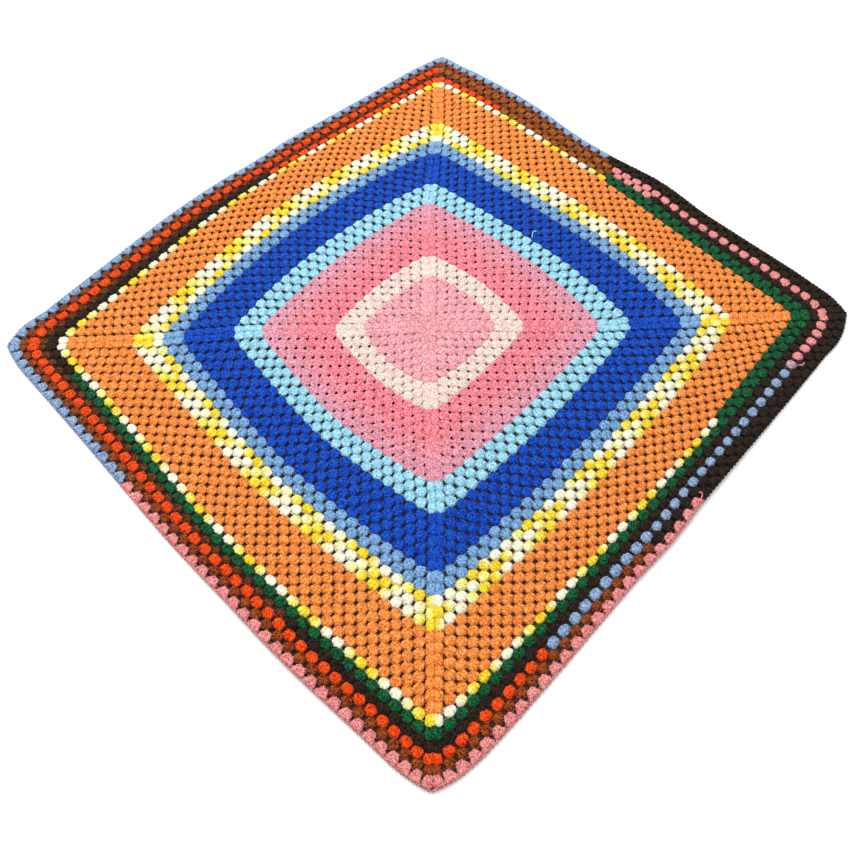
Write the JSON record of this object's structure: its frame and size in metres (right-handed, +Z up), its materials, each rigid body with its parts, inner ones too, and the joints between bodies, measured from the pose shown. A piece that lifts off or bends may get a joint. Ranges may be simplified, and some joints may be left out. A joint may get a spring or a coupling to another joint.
{
  "type": "granny square blanket",
  "caption": "Square crocheted blanket lying flat: ribbed rounds of clusters worked outwards from the middle, sides bowed slightly outwards, banded in several yarn colours.",
  "frame": {"origin": "centre of the blanket's bounding box, on the flat underside that it rests on", "axes": "+Z up out of the cloth, the thinnest way; +X and +Y point along the square's sides"},
  "size_m": [1.2418, 1.3124, 0.0102],
  "materials": {
    "crochet_yarn": "soft plied yarn, matt",
    "pale_pink_yarn": "soft plied yarn, matt",
    "cream_yarn": "soft plied yarn, matt",
    "rose_yarn": "soft plied yarn, matt",
    "sky_blue_yarn": "soft plied yarn, matt",
    "royal_blue_yarn": "soft plied yarn, matt",
    "cornflower_yarn": "soft plied yarn, matt",
    "variegated_yellow_yarn": "soft plied yarn, matt, dyed white to golden yellow along its length",
    "orange_yarn": "soft plied yarn, matt",
    "edge_yarns": "soft plied yarn, matt, brown, green, red-orange, coral pink and cornflower"
  },
  "bodies": {
    "root": {"blanket": "crochet_yarn"}
  },
  "joints": []
}
